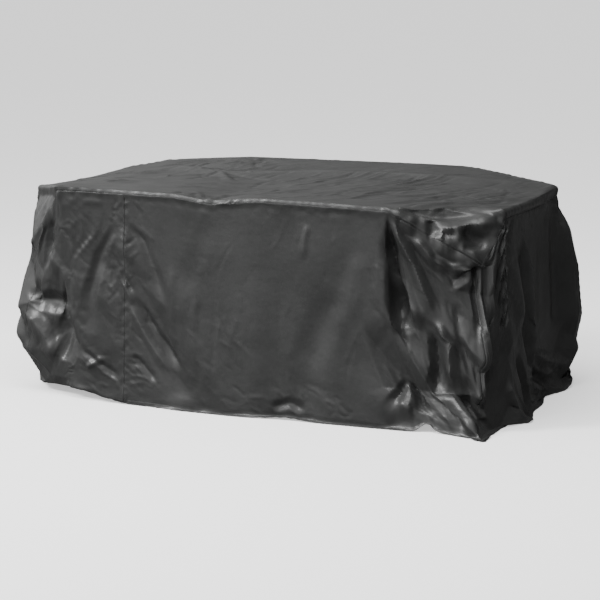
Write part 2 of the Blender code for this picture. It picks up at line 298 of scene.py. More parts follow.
def startingPlaces(topIndex, sideIndex):
    x = np.linspace(cutLeft, cutRight, lengthSteps + 1)
    y = np.linspace(cutNear, cutFar, widthSteps + 1)
    flat = np.stack(np.meshgrid(x, y), axis=-1)
    count = sideIndex.max() + 1
    draped, cut = np.zeros((count, 3)), np.zeros((count, 3))
    draped[topIndex] = layTop(flat)
    cut[topIndex, :2] = flat
    alongs = seamDistance(np.arange(roundSteps))
    drops = np.linspace(0, cutDrop, dropSteps + 1)
    along, drop = np.meshgrid(alongs, drops)
    draped[sideIndex[1:, :-1]] = hangSide(along, drop)[1:]
    cut[sideIndex[1:, :-1], :2] = cutEdge(along)[1:]
    cut[sideIndex[1:, :-1], 2] = -drop[1:]
    return draped + centring, cut + centring


settling = {
    "frames": 36,
    "heldAtHem": 0.62,
    "heldOnSides": 0.30,
    "heldOnTop": 0.25,
    "heldRows": 3,
    "clearance": 0.004,
    "supportFriction": 15,
    "floorFriction": 30,
    "floorHalf": 3,
    "floorHeight": -0.006,
    "seedHeight": 0.003,
    "seedLength": 0.11,
    "smoothing": 40,
    "smoothShare": 0.7,
    "broadShape": 0.9,
}
clothSettings = {
    "quality": 6,
    "mass": 0.15,
    "air_damping": 2.0,
    "tension_stiffness": 40,
    "compression_stiffness": 40,
    "shear_stiffness": 20,
    "bending_model": "ANGULAR",
    "bending_stiffness": 0.12,
    "tension_damping": 10,
    "compression_damping": 10,
    "shear_damping": 10,
    "bending_damping": 0.5,
    "vertex_group_mass": "held",
    "pin_stiffness": 1.0,
    "vertex_group_shrink": "spare",
    "shrink_min": 0,
    "shrink_max": -0.022,
}
contactSettings = {
    "collision_quality": 3,
    "distance_min": settling["clearance"],
    "use_self_collision": True,
    "self_distance_min": settling["clearance"],
    "self_friction": 5,
}
bodySettings = {"thickness_outer": settling["clearance"], "damping": 0.3}

# Where the cover has cloth to spare and crumples: cut x, y and drop, radius, share of the slack
slackPlaces = [
    (1050, -620, 50, 340, 0.45), (1080, -660, 500, 340, 0.45), (-1020, -620, 150, 350, 0.3),
    (-750, -660, 400, 320, 0.35), (-460, -660, 150, 160, 0.4), (-1050, -550, 700, 350, 0.4),
    (1050, 620, 100, 400, 0.4), (-1020, 620, 100, 400, 0.4), (-370, 120, 0, 450, 0.25),
    (600, -100, 0, 600, 0.2),
]

# What the cover lies on as it settles: rings from the middle to the rim, and a wall below it
supportShape = {
    "rings": (0.25, 0.5, 0.75, 0.95, 0.994, 1.0),
    "lowered": (0, 0, 0, 0, 0.001, 0.005),
    "below": 0.002,
    "middleBelow": 0.006,
    "edgeStep": 0.06,
    "rim": 0.997,
    "wall": 0.985,
    "wallFoot": 0.70,
}


def supportSurface():
    corners = []
    for start, end in zip(supportCorners, np.roll(supportCorners, -1, axis=0)):
        steps = max(2, round(float(length(end - start)) / supportShape["edgeStep"]))
        corners += [mix(start, end, step / steps) for step in range(steps)]
    outline = np.array(corners)
    middle = outline.mean(0)
    points = []
    for ring, down in zip(supportShape["rings"], supportShape["lowered"]):
        place = mix(middle, outline * supportShape["rim"], ring)
        height = topHeight(place) - down - settling["clearance"] - supportShape["below"]
        points.append(np.column_stack([place, height]))
    count = len(outline)
    foot = np.full(count, supportShape["wallFoot"])
    points.append(np.column_stack([outline * supportShape["wall"], foot]))
    top = np.append(middle, topHeight(middle) - supportShape["middleBelow"])
    faces = [(0, 1 + i, 1 + (i + 1) % count) for i in range(count)]
    for ring in range(len(points) - 1):
        low, high = 1 + ring * count, 1 + (ring + 1) * count
        faces += [(low + i, high + i, high + (i + 1) % count, low + (i + 1) % count)
                  for i in range(count)]
    return np.vstack([top[None], *points]) + centring, faces


def addObject(name, data):
    added = bpy.data.objects.new(name, data)
    bpy.context.scene.collection.objects.link(added)
    return added


def meshObject(name, points, faces):
    mesh = bpy.data.meshes.new(name)
    mesh.from_pydata([tuple(point) for point in points], [], [tuple(map(int, face)) for face in faces])
    return addObject(name, mesh)


def levelSquare(name, half, height):
    corners = [(-half, -half, height), (half, -half, height), (half, half, height), (-half, half, height)]
    return meshObject(name, corners, [(0, 1, 2, 3)])


def setAll(target, values):
    for key, value in values.items():
        setattr(target, key, value)


def addCollision(body, friction):
    body.modifiers.new("Collision", "COLLISION")
    setAll(body.collision, bodySettings)
    body.collision.cloth_friction = friction


def addGroup(body, name, weights):
    group = body.vertex_groups.new(name=name)
    for index, weight in enumerate(weights):
        if weight > 0:
            group.add([index], float(weight), "REPLACE")


# Small waves that lean across the cloth, from which its wrinkles grow
def seedWaves(cut):
    longer = settling["seedLength"]
    waves = [noise.noise(Vector((x * 0.8 + y * 0.6, (y * 0.8 - x * 0.6) * 0.35, z * 0.8)) / longer)
             for x, y, z in cut]
    return np.array(waves) * settling["seedHeight"]


def spareCloth(cut):
    spare = np.zeros(len(cut))
    for *sizes, share in slackPlaces:
        x, y, drop, radius = metres(sizes)
        near = length(cut - centring - (x, y, -drop)) / radius
        spare = np.maximum(spare, share * hump(near))
    return spare


def settleCover(draped, cut, faces, topIndex, sideIndex):
    outwards = draped - draped.mean(0) * (1, 1, 0.6)
    outwards /= length(outwards)[:, None]
    cloth = meshObject("coverInOne", draped + outwards * seedWaves(cut)[:, None], faces)
    cloth.shape_key_add(name="Basis")
    cutKey = cloth.shape_key_add(name="cut")
    cutKey.data.foreach_set("co", cut.astype(np.float32).ravel())
    held = np.full(len(draped), settling["heldOnTop"])
    held[sideIndex] = settling["heldOnSides"]
    held[sideIndex[-settling["heldRows"]:]] = settling["heldAtHem"]
    addGroup(cloth, "held", held)
    addGroup(cloth, "spare", spareCloth(cut))
    support = meshObject("support", *supportSurface())
    floor = levelSquare("settlingFloor", settling["floorHalf"], settling["floorHeight"])
    addCollision(support, settling["supportFriction"])
    addCollision(floor, settling["floorFriction"])
    modifier = cloth.modifiers.new("Settle", "CLOTH")
    setAll(modifier.settings, clothSettings)
    modifier.settings.rest_shape_key = cutKey
    setAll(modifier.collision_settings, contactSettings)
    scene = bpy.context.scene
    modifier.point_cache.frame_end = scene.frame_end = settling["frames"] + 2
    for number in range(1, settling["frames"] + 1):
        scene.frame_set(number)
    settled = cloth.evaluated_get(bpy.context.evaluated_depsgraph_get()).to_mesh()
    places = np.zeros(len(draped) * 3)
    settled.vertices.foreach_get("co", places)
    for done in (cloth, support, floor):
        bpy.data.objects.remove(done)
    scene.frame_set(1)
    return places.reshape(-1, 3)


# Keeps the wrinkles of the settled cloth and the broad shape of the draped one
def keepShape(draped, settled, faces):
    edges = np.vstack([faces[:, [0, 1]], faces[:, [1, 2]], faces[:, [2, 3]], faces[:, [3, 0]]])
    count = len(draped)
    touching = np.bincount(edges.ravel(), minlength=count)
    moved = settled - draped
    for step in range(settling["smoothing"]):
        for axis in range(3):
            gathered = np.bincount(edges[:, 0], moved[edges[:, 1], axis], count)
            gathered += np.bincount(edges[:, 1], moved[edges[:, 0], axis], count)
            moved[:, axis] = mix(moved[:, axis], gathered / touching, settling["smoothShare"])
    return settled - moved * settling["broadShape"]


topIndex, sideIndex, cells = sewnGrid()
draped, cut = startingPlaces(topIndex, sideIndex)
places = settleCover(draped, cut, cells, topIndex, sideIndex)
places = keepShape(draped, places, cells)
topGrid, sideGrid = places[topIndex], places[sideIndex[:, :-1]]
report("settled", len(places), "points", places.min(0), places.max(0))

# Distances between grid lines of the finished cloth, in those of the settled one
gridLines = {
    "top": 0.40,
    "drop": 0.28,
    "seenSides": 1 / 3,
    "hiddenSides": 1 / 2,
    "besideSeam": (0.10, 0.22),
    "besideHem": (0.94, 1.06),
}


# Reads a grid of points smoothly at lines that may lie between its own
def readAcross(grid, lines, closed=False):
    count = len(grid)
    base = np.floor(lines).astype(int)
    if not closed:
        grid = np.concatenate([2 * grid[:1] - grid[1:2], grid, 2 * grid[-1:] - grid[-2:-1]])
        base = np.clip(base, 0, count - 2)
    share = (lines - base).reshape(-1, *[1] * (grid.ndim - 1))

    def row(step):
        return grid[(base + step) % count] if closed else grid[base + step + 1]

    return curve(row(0), row(1), (row(1) - row(-1)) / 2, (row(2) - row(0)) / 2, share)


def readBoth(grid, rows, columns, closed=False):
    return readAcross(readAcross(grid, rows).swapaxes(0, 1), columns, closed).swapaxes(0, 1)


# Grid lines of a piece: even ones, and closer ones beside its edges
def pieceLines(low, high, step, besideHigh=gridLines["besideSeam"]):
    even = np.linspace(low, high, round((high - low) / step) + 1)
    closer = [low + np.array(gridLines["besideSeam"]), high - np.array(besideHigh)]
    return np.sort(np.concatenate([even, *closer]))


# Creases of the top: places in cut x and y, then half widths at the ends and rise, which is below
# 0 for a trough. They are sharp tents, and soft swells where a 0 follows.
topCreases = [
    ((-960, 280, -640, 280, -380, 130, -20, 260, 470, 290, 1050, 370), 90, 100, 13),
    ((-800, 400, -380, 300, 100, 420, 600, 450), 100, 100, -7, 0),
    ((-380, 130, -600, -80), 20, 35, 6),
    ((-380, 130, -440, -160), 18, 30, -5),
    ((-380, 130, -220, -120), 20, 40, 6),
    ((-380, 130, -80, 20), 18, 30, -4),
    ((-380, 130, -300, 420), 20, 35, 6),
    ((-380, 130, -620, 400), 20, 35, -5),
    ((-370, 500, -560, 560), 18, 30, 5),
    ((-370, 500, -120, 580), 18, 30, 5),
    ((-370, 500, -300, 340), 18, 30, -5),
    ((-370, 500, -400, 640), 18, 30, 4),
    ((690, -630, 880, -290, 1030, 20), 30, 40, 7),
    ((600, -610, 740, -250, 860, 100), 30, 50, -5),
    ((-200, -640, -90, -600, 20, -630), 40, 40, -8),
    ((-90, -640, -50, -480), 20, 30, -6),
    ((-140, -620, -220, -500), 18, 30, 4),
    ((0, -620, 140, -520), 18, 30, 4),
    ((870, -650, 940, -570, 1070, -470), 45, 55, 26),
    ((700, -630, 840, -560, 980, -460), 60, 70, -20),
    ((670, -650, 740, -660, 790, -640), 25, 40, 18),
    ((820, -620, 870, -660), 20, 28, -18),
    ((870, -665, 950, -630, 970, -580), 50, 50, 24),
    ((890, -650, 940, -610), 28, 28, -20),
    ((950, -570, 1080, -600), 50, 40, -26),
    ((960, -660, 1040, -650, 1090, -620), 45, 35, 22),
]

# Creases of the sides, with places in along and drop
sideCreases = [
    ((1724, 10, 1765, 210, 1800, 440, 1900, 540), 25, 65, -40),
    ((1735, 0, 1850, 160, 1940, 320), 25, 55, 30),
    ((1900, 80, 2020, 120, 2100, 50), 45, 45, -20),
    ((1840, 30, 1930, 90, 2000, 80), 40, 40, 18),
    ((2000, 90, 2130, 20), 35, 30, 18),
    ((1940, 310, 2005, 370, 2025, 550), 25, 50, 34, 1.1),
    ((1930, 360, 1960, 500, 1940, 620), 35, 45, -30),
    ((1820, 610, 1790, 700, 1750, 810), 18, 40, -20),
    ((1820, 610, 1870, 680, 1900, 800), 18, 40, -24),
    ((1820, 600, 1830, 720, 1820, 840), 25, 50, 18),
    ((2000, 560, 2060, 660, 2140, 780), 40, 60, 20),
    ((1980, 620, 2040, 740, 2060, 840), 30, 45, -20),
    ((2080, 450, 2100, 600, 2180, 720), 30, 45, -16),
    ((2030, 200, 2060, 340, 2100, 440), 25, 30, -10),
    ((2128, 30, 2140, 120, 2135, 300), 20, 30, -24),
    ((2160, 60, 2170, 300, 2160, 620), 22, 32, 22),
    ((2240, 50, 2250, 250, 2270, 440), 30, 40, 12),
    ((2300, 20, 2330, 300, 2300, 600), 50, 60, -16),
    ((2640, 80, 2700, 420, 2740, 740), 30, 42, 34),
    ((2580, 160, 2620, 440, 2640, 700), 50, 60, -26),
    ((2460, 550, 2560, 700, 2660, 840), 30, 50, -24),
    ((2360, 600, 2400, 720, 2460, 860), 30, 45, 20),
    ((2740, 660, 2860, 720, 3000, 780), 25, 40, -22),
    ((2780, 600, 2940, 660, 3100, 700), 30, 50, 14),
    ((2720, 720, 2820, 800), 25, 30, 20),
    ((150, 0, 90, 70, 70, 120), 20, 20, 12),
    ((200, 20, 170, 140, 160, 240), 50, 50, -20),
    ((7000, 240, 7080, 280), 40, 40, -20),
    ((0, 260, 160, 380, 310, 510), 35, 50, -26),
    ((0, 340, 100, 480, 200, 670), 40, 50, 26),
    ((240, 460, 260, 580, 220, 680), 60, 60, -20),
    ((130, 150, 260, 300, 340, 440), 30, 40, 10),
    ((560, 120, 480, 260, 400, 500), 18, 45, -10),
    ((615, 120, 680, 190, 785, 450), 16, 45, -11),
    ((590, 120, 595, 280, 600, 420), 30, 70, 10),
    ((575, 310, 635, 410), 16, 20, -10),
    ((590, 360, 640, 460), 14, 18, 7),
    ((643, 420, 752, 580, 873, 720), 18, 32, -14),
    ((610, 440, 710, 600, 830, 750), 18, 34, 13),
    ((637, 660, 755, 770), 16, 22, -10),
    ((360, 660, 480, 720, 600, 780), 18, 22, -9),
    ((400, 740, 500, 690), 16, 20, 8),
    ((1530, 320, 1450, 500, 1362, 690), 80, 110, -6, 0),
    ((1620, 160, 1580, 340, 1520, 520), 60, 80, 4, 0),
    ((1390, 70, 1375, 140, 1367, 220), 18, 25, 5),
    ((1240, 830, 1320, 800, 1400, 830), 25, 25, -10),
    ((960, 60, 920, 220, 860, 400), 50, 80, -3, 0),
    ((3620, 100, 3740, 340, 3800, 620), 30, 60, -26),
    ((3540, 60, 3580, 300, 3620, 560), 30, 50, 24),
    ((4300, 50, 4240, 300, 4120, 560), 30, 60, -14),
    ((4860, 100, 4960, 380, 5100, 660), 30, 60, -16),
    ((5440, 40, 5380, 260, 5240, 520), 30, 60, 18),
    ((5720, 60, 5800, 280, 5920, 500), 30, 60, -22),
    ((6300, 100, 6360, 400, 6500, 660), 30, 60, -16),
]

# Patches of finer creases. Top: cut x, y and radii. Sides: along, drop and radii. Then how many,
# their lean in degrees, its spread, length, half width and rise.
topCrumples = [
    (0, 0, 950, 580, 110, 30, 24, 240, 16, 3), (450, -150, 600, 450, 80, 66, 14, 340, 16, 3.6),
    (-550, 100, 450, 450, 50, 50, 30, 180, 14, 3.4),
    (-380, 500, 220, 140, 24, 20, 80, 90, 12, 3), (-380, 120, 200, 180, 20, 0, 90, 100, 12, 3),
    (-80, -610, 180, 70, 18, 60, 60, 70, 12, 3.5),
    (930, -580, 180, 100, 16, 35, 30, 140, 18, 2.5),
    (850, 100, 200, 500, 40, 70, 20, 120, 13, 2.4),
]
sideCrumples = [
    (2040, 70, 180, 90, 20, 20, 40, 120, 18, 1.8),
    (2120, 280, 100, 220, 20, 84, 20, 140, 15, 1.5),
    (1840, 360, 200, 300, 40, 62, 26, 120, 15, 1.8),
    (1950, 700, 280, 160, 26, 60, 40, 140, 18, 2),
    (2580, 360, 400, 340, 34, 84, 18, 140, 15, 1.5),
    (2850, 720, 300, 120, 30, 20, 50, 90, 15, 2.5),
    (2500, 40, 340, 50, 24, 60, 30, 60, 11, 1.5),
    (280, 240, 200, 200, 34, 52, 26, 100, 14, 1.3),
    (620, 340, 120, 320, 44, 55, 40, 80, 12, 1.8),
    (560, 240, 100, 200, 24, 118, 30, 80, 12, 1.8),
    (520, 740, 260, 100, 34, 28, 50, 90, 13, 1.8),
    (900, 660, 300, 180, 26, 48, 30, 120, 14, 1.3),
    (1320, 800, 300, 60, 26, 30, 50, 70, 12, 1.6),
    (1300, 360, 500, 340, 30, 100, 26, 160, 18, 0.9),
    (7000, 400, 300, 340, 20, 70, 40, 140, 18, 1.5),
    (3500, 300, 300, 340, 40, 80, 40, 120, 15, 2),
    (4600, 400, 900, 400, 60, 80, 34, 160, 16, 1.3),
    (5650, 300, 280, 340, 40, 80, 40, 120, 15, 2),
    (6350, 400, 600, 380, 40, 84, 30, 140, 15, 1.4),
]
creasing = {
    "seed": 11,
    "taperStart": 0.22,
    "taperEnd": 0.30,
    "wornRise": 0.02,
    "wornKeenness": 4,
}


# Facets with sharp edges, as in crumpled cloth. Top: cut x, y and radii. Sides: along, drop and
# radii. Then the facets' size, how much longer they are one way, its lean in degrees, the rise.
topFacets = [
    (900, -600, 280, 180, 60, 2.8, 42, 4.5), (-380, 160, 340, 300, 80, 1.6, 20, 5),
    (-340, 500, 300, 180, 60, 1.6, 20, 3.5), (-80, -620, 260, 100, 60, 1.4, 50, 3.5),
    (0, 0, 1400, 900, 110, 2.6, 62, 2.6), (600, -150, 600, 550, 50, 5, 70, 2.6),
    (-950, -550, 200, 250, 70, 1.5, 50, 5), (950, 580, 300, 250, 80, 1.6, 120, 5),
    (-950, 580, 250, 250, 80, 1.6, 60, 5),
]
sideFacets = [
    (2000, 80, 280, 170, 62, 2.6, -28, 5), (2080, 340, 200, 300, 70, 3.4, 80, 5),
    (1840, 400, 220, 400, 70, 3.6, 66, 5), (1950, 720, 360, 220, 80, 2.2, 66, 7),
    (2550, 400, 450, 440, 100, 3, 86, 9), (2850, 720, 400, 180, 80, 1.8, 20, 15),
    (200, 300, 300, 340, 75, 2, 52, 6), (140, 620, 240, 240, 90, 1.6, 50, 6),
    (620, 340, 220, 400, 60, 2.2, 58, 4.5), (520, 740, 340, 150, 65, 1.6, 30, 6.5),
    (920, 640, 360, 260, 90, 2.2, 50, 5), (1300, 780, 400, 120, 65, 1.6, 30, 5),
    (1200, 400, 900, 600, 140, 1.6, 80, 2.2), (7000, 400, 400, 460, 90, 1.8, 70, 6),
    (3500, 360, 400, 440, 85, 2, 80, 6), (4600, 440, 1200, 600, 100, 2.2, 80, 4),
    (5650, 360, 400, 440, 85, 2, 80, 6), (6350, 440, 800, 500, 90, 2.2, 80, 4.5),
]
faceting = {
    "seed": 5,
    "cells": 64,
    "finerShare": 0.18,
    "finerSize": 0.4,
    "finerTurn": 35,
    "brokenFade": 0.3,
}
facetHeights = np.random.default_rng(faceting["seed"]).uniform(-1, 1, (faceting["cells"],) * 2)

# Patches where the settled folds are broken into flat faces, in the same columns without a rise
topBroken = [
    (900, -580, 300, 170, 100, 1.8, 40),
]
sideBroken = [
    (2000, 160, 340, 220, 100, 2, 32), (1930, 600, 360, 300, 115, 2.4, 66),
    (2520, 660, 440, 280, 85, 2.2, 60), (3000, 700, 360, 220, 80, 2, 30),
    (120, 240, 280, 280, 95, 2.6, 66), (100, 660, 300, 260, 90, 2.4, 60),
    (620, 400, 200, 440, 60, 2.6, 58), (3500, 400, 360, 500, 85, 2.2, 76),
    (5660, 400, 360, 500, 85, 2.2, 76),
]


# Offset along the seam, taken the shorter way round
def shortWay(offset):
    return offset - np.round(offset / roundLength) * roundLength


# Places counted in faces, along their lean and across it
def inFaces(first, second, size, longer, lean):
    cosine, sine = math.cos(math.radians(lean)), math.sin(math.radians(lean))
    return (first * cosine + second * sine) / (size * longer), (second * cosine - first * sine) / size


# Two triangles fill each cell, flat between their corners
def overTriangles(corner, shareA, shareB):
    lower = corner(0, 0) * (1 - shareA - shareB) + corner(1, 0) * shareA + corner(0, 1) * shareB
    upper = (corner(1, 1) * (shareA + shareB - 1) + corner(0, 1) * (1 - shareA)
             + corner(1, 0) * (1 - shareB))
    return np.where(shareA + shareB < 1, lower, upper)


# Heights on facets, which are warped so that they don't lie in rows
def facetsAt(place, size, longer, lean):
    ahead, aside = inFaces(place[:, 0], place[:, 1], size, longer, lean)
    warpedA = ahead + 0.28 * np.sin(2.3 * aside + 0.7) + 0.20 * np.sin(3.1 * ahead + 1.9 * aside)
    warpedB = aside + 0.28 * np.sin(2.7 * ahead + 2.1) + 0.20 * np.sin(3.7 * aside - 1.3 * ahead)
    cellA, cellB = np.floor(warpedA).astype(int), np.floor(warpedB).astype(int)

    def corner(a, b):
        return facetHeights[(cellA + a) % faceting["cells"], (cellB + b) % faceting["cells"]]

    return overTriangles(corner, warpedA - cellA, warpedB - cellB)


def facetedHeights(first, second, rows):
    height = np.zeros(len(first))
    for number, (*sizes, longer, lean, rise) in enumerate(rows):
        a, b, radiusA, radiusB, size = metres(sizes)
        offset = shortWay(first - a)
        fade = hump(np.sqrt((offset / radiusA) ** 2 + ((second - b) / radiusB) ** 2))
        near = np.flatnonzero(fade > 0.002)
        place = np.column_stack([offset[near], second[near] - b])
        both = facetsAt(place + number * 1.7, size, longer, lean)
        both += faceting["finerShare"] * facetsAt(
            place + number * 2.9, size * faceting["finerSize"], longer, lean + faceting["finerTurn"])
        height[near] += rise / 1000 * both * fade[near]
    return height


# Reads a grid straight between its points
def readStraight(grid, row, column, closed):
    rows, columns = grid.shape[:2]
    row = np.clip(row, 0, rows - 1)
    low = np.minimum(row.astype(int), rows - 2)
    column = column % columns if closed else np.clip(column, 0, columns - 1)
    left = column.astype(int) if closed else np.minimum(column.astype(int), columns - 2)
    right = (left + 1) % columns
    share, aside = (row - low)[:, None], (column - left)[:, None]
    return mix(mix(grid[low, left], grid[low, right], aside),
               mix(grid[low + 1, left], grid[low + 1, right], aside), share)


def readTop(x, y):
    return readStraight(topGrid, (y - cutNear) / cutWidth * widthSteps,
                        (x - cutLeft) / cutLength * lengthSteps, False)


def readSide(along, drop):
    return readStraight(sideGrid, drop / cutDrop * dropSteps, lineAt(along % roundLength), True)


# How far each point moves so that it lies on flat faces between a few points of the settled cloth
def brokenShift(first, second, points, rows, read):
    shift, weight = np.zeros(points.shape), np.zeros(len(points))
    for *sizes, longer, lean in rows:
        a, b, radiusA, radiusB, size = metres(sizes)
        offset = shortWay(first - a)
        reach = np.sqrt((offset / radiusA) ** 2 + ((second - b) / radiusB) ** 2)
        near = np.flatnonzero(reach < 1)
        ahead, aside = inFaces(offset[near], second[near] - b, size, longer, lean)
        cellA, cellB = np.floor(ahead), np.floor(aside)
        cosine, sine = math.cos(math.radians(lean)), math.sin(math.radians(lean))

        def corner(stepA, stepB):
            nodeA, nodeB = (cellA + stepA) * size * longer, (cellB + stepB) * size
            return read(a + nodeA * cosine - nodeB * sine, b + nodeA * sine + nodeB * cosine)

        flat = overTriangles(corner, (ahead - cellA)[:, None], (aside - cellB)[:, None])
        fade = ease((1 - reach[near]) / faceting["brokenFade"])
        shift[near] += fade[:, None] * (flat - points[near])
        weight[near] += fade
    return shift / np.maximum(weight, 1)[:, None]


def cutTop(place):
    return np.column_stack([place, np.zeros(len(place))])


def cutSide(along, drop):
    return np.concatenate([cutEdge(along), -drop[..., None]], axis=-1)


def scattered(patches, chance):
    rows = []
    for a, b, radiusA, radiusB, count, lean, spread, reach, half, rise in patches:
        for number in range(count):
            angle, away = chance.uniform(0, 2 * math.pi), math.sqrt(chance.uniform(0, 1))
            middle = np.array((a + radiusA * away * math.cos(angle), b + radiusB * away * math.sin(angle)))
            turn = math.radians(lean + chance.normal(0, 0.5) * spread)
            step = np.array((math.cos(turn), math.sin(turn))) * reach * chance.uniform(0.25, 0.6)
            bend = np.array((-step[1], step[0])) * chance.uniform(-0.2, 0.2)
            width = half * chance.uniform(0.6, 1.3)
            height = rise * chance.uniform(0.4, 1.2) * chance.choice((-1, 1))
            rows.append(((middle - step, middle + bend, middle + step), width, width, height, 0))
    return rows


# Height of all creases above the settled cloth at places on the cut one, and how worn they are
def creaseHeights(places, rows, flatten):
    height, worn = np.zeros(len(places)), np.zeros(len(places))
    for points, *sizes in rows:
        halfStart, halfEnd, rise = metres(sizes[:3])
        keen = sizes[3] if len(sizes) > 3 else 1
        line = flatten(np.reshape(points, (-1, 2)) / 1000)
        reach = max(halfStart, halfEnd)
        low, high = line.min(0) - reach, line.max(0) + reach
        near = np.flatnonzero(((places > low) & (places < high)).all(-1))
        if not len(near):
            continue
        lengths = length(np.diff(line, axis=0))
        starts = np.concatenate([[0], np.cumsum(lengths)])
        best, run = np.full(len(near), np.inf), np.zeros(len(near))
        for number in range(len(lengths)):
            share, aside = alongLine(places[near], line[number], line[number + 1])
            closer = aside < best
            best = np.where(closer, aside, best)
            run = np.where(closer, starts[number] + share * lengths[number], run)
        run /= starts[-1]
        beside = np.clip(best / mix(halfStart, halfEnd, run), 0, 1)
        taper = ease(run / creasing["taperStart"]) * ease((1 - run) / creasing["taperEnd"])
        profile = hump(beside) if keen == 0 else (1 - beside) ** keen
        height[near] += rise * profile * taper
        rubbed = np.clip(abs(rise) / creasing["wornRise"], 0, 1) * (1 - beside) ** creasing["wornKeenness"]
        worn[near] += rubbed * taper * (keen > 0)
    return height, np.clip(worn, 0, 1)


# How the seams and hem shape the cloth beside them, in metres
sewing = {
    "groove": 0.0007,
    "grooveReach": 0.006,
    "pucker": 0.0020,
    "joinPucker": 0.0026,
    "puckerReach": 0.050,
    "puckerLength": 0.024,
    "brokenFrom": 0.03,
    "facetsFrom": 0.02,
    "sharedNormals": 0.03,
    "hem": 0.020,
    "hemThickness": 0.0007,
    "hemWave": 0.0030,
    "hemWaveLength": 0.022,
    "hemWaveReach": 0.05,
    "stitchAway": 0.006,
    "aboveFloor": 0.0015,
    "floorEase": 0.006,
}


def waves(places, longer):
    return np.array([noise.noise(Vector(place) / longer) for place in places])


# Groove and puckers beside a seam at given distances from it
def sewnHeights(away, places, pucker):
    height = -sewing["groove"] * (1 - np.clip(away / sewing["grooveReach"], 0, 1)) ** 2
    near = np.flatnonzero(away < sewing["puckerReach"])
    strength = np.broadcast_to(pucker, away.shape)[near]
    height[near] += (strength * waves(places[near], sewing["puckerLength"])
                     * hump(away[near] / sewing["puckerReach"]))
    return height


def gridNormals(grid, closed=False):
    if closed:
        sideways = np.roll(grid, -1, axis=1) - np.roll(grid, 1, axis=1)
    else:
        sideways = np.gradient(grid, axis=1)
    normals = np.cross(np.gradient(grid, axis=0), sideways)
    return normals / length(normals)[..., None]


# One normal all along the seam between the top and the sides, so that both move as one there
rimNormals = rimOf(-gridNormals(topGrid)) + gridNormals(sideGrid, closed=True)[0]
rimNormals /= length(rimNormals)[:, None]


def blendedNormals(own, along, away):
    rim = readAcross(rimNormals, lineAt(along).ravel() % roundSteps, closed=True).reshape(own.shape)
    both = mix(rim, own, ease(away / sewing["sharedNormals"])[..., None])
    return both / length(both)[..., None]


# A grid broken into flat faces, with the height of all creases above it and how worn they are
def creasedGrid(grid, first, second, cutPlaces, away, broken, facets, read):
    first, second, away = first.ravel(), second.ravel(), away.ravel()
    shift = brokenShift(first, second, grid.reshape(-1, 3), broken, read)
    shift *= ease(away / sewing["brokenFrom"])[:, None]
    top, topWorn = creaseHeights(cutPlaces, topRows, cutTop)
    sides, sidesWorn = creaseHeights(cutPlaces, sideRows, lambda line: cutSide(*line.T))
    height = top + sides + facetedHeights(first, second, facets) * ease(away / sewing["facetsFrom"])
    height += sewnHeights(away, cutPlaces, sewing["pucker"])
    worn = np.clip(topWorn + sidesWorn, 0, 1)
    return grid + shift.reshape(grid.shape), height, worn.reshape(grid.shape[:2])


clothLook = {
    "dark": (0.020, 0.0203, 0.020, 1),
    "pale": (0.050, 0.0505, 0.050, 1),
    "specular": 0.35,
    "clouds": (5.0, 4.0),  # scale and detail of noise, as in marks, sheen and fine
    "cloudTone": (0.3, 0.7, 0.0, 0.35),  # from and to in the noise, then in the look
    "marks": (60.0, 6.0),
    "markTone": (0.45, 0.8, 0.0, 0.15),
    "sheen": (9.0, 5.0),
    "roughness": (0.3, 0.7, 0.30, 0.40),
    "wornRough": 0.08,
    "wornTone": 0.5,
    "stitchTone": 0.4,
    "fine": (28.0, 5.0),
    "fineDepth": 0.0011,
    "threads": 2 * math.pi / 0.0012,
    "weaveDepth": 0.00003,
    "stitchHalf": 0.0006,
    "stitchStep": 0.0045,
    "stitchLength": 0.7 * 0.0045,
    "stitchDepth": 0.0004,
    "sharpAbove": math.radians(34),
}


def nodesOf(owner):
    owner.use_nodes = True
    return owner.node_tree.nodes, owner.node_tree.links


rangeEnds = ("From Min", "From Max", "To Min", "To Max")


def setInputs(node, values):
    for key, value in values.items():
        node.inputs[key].default_value = value


